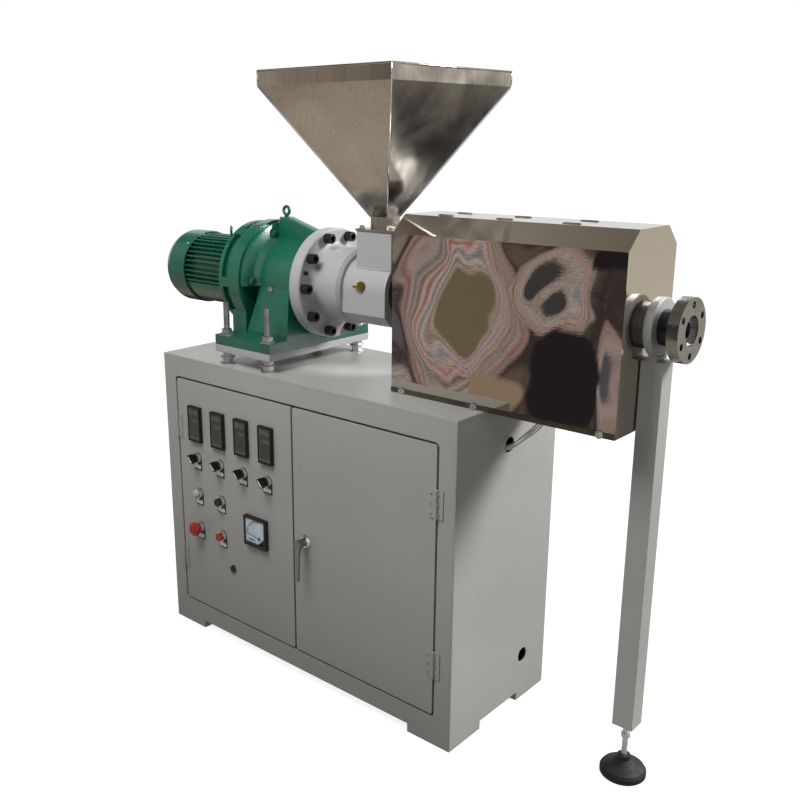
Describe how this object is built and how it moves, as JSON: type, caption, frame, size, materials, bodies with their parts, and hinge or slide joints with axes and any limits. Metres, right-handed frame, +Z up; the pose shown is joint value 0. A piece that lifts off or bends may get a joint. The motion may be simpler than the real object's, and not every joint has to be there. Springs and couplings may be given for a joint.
{
  "type": "small single-screw plastic extruder",
  "caption": "Floor-standing plastic extruder: geared motor, hopper, guarded horizontal barrel and die flange on a cabinet with hinged control doors, with a support leg under the die.",
  "frame": {"origin": "on the floor, under the middle of the machine's bounding box", "axes": "+X along the screw towards the die, +Y to the back, +Z up"},
  "size_m": [1.459, 0.443, 1.473],
  "materials": {
    "paint_grey": "semi-gloss grey paint",
    "casting_grey": "light grey paint on castings",
    "enamel_green": "gloss enamel",
    "stainless": "polished stainless sheet",
    "machined_steel": "turned steel",
    "zinc": "zinc plated",
    "chrome": "polished plating",
    "black_plastic": "satin moulded",
    "black_rubber": "matte",
    "dark_green_plastic": "satin",
    "red_plastic": "satin",
    "white_plastic": "satin",
    "lead_fabric": "braided sleeve",
    "brass": "machined"
  },
  "bodies": {
    "machine": {"cabinet_top": "paint_grey", "cabinet_floor": "paint_grey", "cabinet_back": "paint_grey", "cabinet_side_left": "paint_grey", "cabinet_side_right": "paint_grey", "front_header": "paint_grey", "front_sill": "paint_grey", "front_stiles": "paint_grey", "frame_hinges": "paint_grey", "base_plate": "casting_grey", "levelling_studs": "zinc", "gear_housing": "enamel_green", "gear_ring": "enamel_green", "input_lantern": "enamel_green", "gear_eye": "enamel_green", "motor_case": "enamel_green", "motor_cowl": "enamel_green", "motor_eye": "enamel_green", "terminal_box": "enamel_green", "adapter_flange": "casting_grey", "feed_housing": "casting_grey", "cooling_fitting": "brass", "hopper": "stainless", "hopper_throat": "stainless", "barrel": "machined_steel", "barrel_collar": "machined_steel", "guard_cover": "stainless", "guard_rear_end": "stainless", "guard_die_end": "stainless", "guard_bottom": "stainless", "barrel_disc": "casting_grey", "die_neck": "machined_steel", "die_flange": "machined_steel", "support_leg": "paint_grey", "leg_stud": "zinc", "foot_pad": "black_rubber", "heater_leads": "lead_fabric"},
    "control_door": {"control_door": "paint_grey", "temperature_controllers": "black_plastic", "meter_case": "black_plastic", "meter_dial": "white_plastic", "label_plates": "black_plastic", "control_rings": "chrome", "indicator_lamp": "white_plastic", "door_lock": "chrome"},
    "plain_door": {"plain_door": "paint_grey", "handle_rosette": "chrome"},
    "lock_lever": {"lock_lever": "chrome"},
    "selector_1": {"selector_1": "black_plastic"},
    "selector_2": {"selector_2": "black_plastic"},
    "selector_3": {"selector_3": "black_plastic"},
    "selector_4": {"selector_4": "black_plastic"},
    "start_button": {"start_button": "dark_green_plastic"},
    "stop_button": {"stop_button": "red_plastic"},
    "emergency_stop": {"emergency_stop": "red_plastic"}
  },
  "joints": [
    {"name": "control_door_hinge", "type": "hinge", "parent": "machine", "child": "control_door", "pos_m": [-0.57175, -0.191, 0.202], "axis": [0, 0, -1], "range_deg": [0, 110]},
    {"name": "plain_door_hinge", "type": "hinge", "parent": "machine", "child": "plain_door", "pos_m": [0.29875, -0.191, 0.202], "axis": [0, 0, 1], "range_deg": [0, 110]},
    {"name": "lock_lever_turn", "type": "hinge", "parent": "plain_door", "child": "lock_lever", "pos_m": [-0.09575, -0.2175, 0.382], "axis": [0, -1, 0], "range_deg": [0, 90]},
    {"name": "selector_1_turn", "type": "hinge", "parent": "control_door", "child": "selector_1", "pos_m": [-0.4955, -0.1975, 0.505], "axis": [0, 1, 0], "range_deg": [0, 90]},
    {"name": "selector_2_turn", "type": "hinge", "parent": "control_door", "child": "selector_2", "pos_m": [-0.405, -0.1975, 0.505], "axis": [0, 1, 0], "range_deg": [0, 90]},
    {"name": "selector_3_turn", "type": "hinge", "parent": "control_door", "child": "selector_3", "pos_m": [-0.3145, -0.1975, 0.505], "axis": [0, 1, 0], "range_deg": [0, 90]},
    {"name": "selector_4_turn", "type": "hinge", "parent": "control_door", "child": "selector_4", "pos_m": [-0.224, -0.1975, 0.505], "axis": [0, 1, 0], "range_deg": [0, 90]},
    {"name": "start_button_press", "type": "slide", "parent": "control_door", "child": "start_button", "axis": [0, 1, 0], "range_m": [0, 0.004], "stiffness_N_per_m": 400},
    {"name": "stop_button_press", "type": "slide", "parent": "control_door", "child": "stop_button", "axis": [0, 1, 0], "range_m": [0, 0.004], "stiffness_N_per_m": 400},
    {"name": "emergency_stop_press", "type": "slide", "parent": "control_door", "child": "emergency_stop", "axis": [0, 1, 0], "range_m": [0, 0.004]}
  ]
}
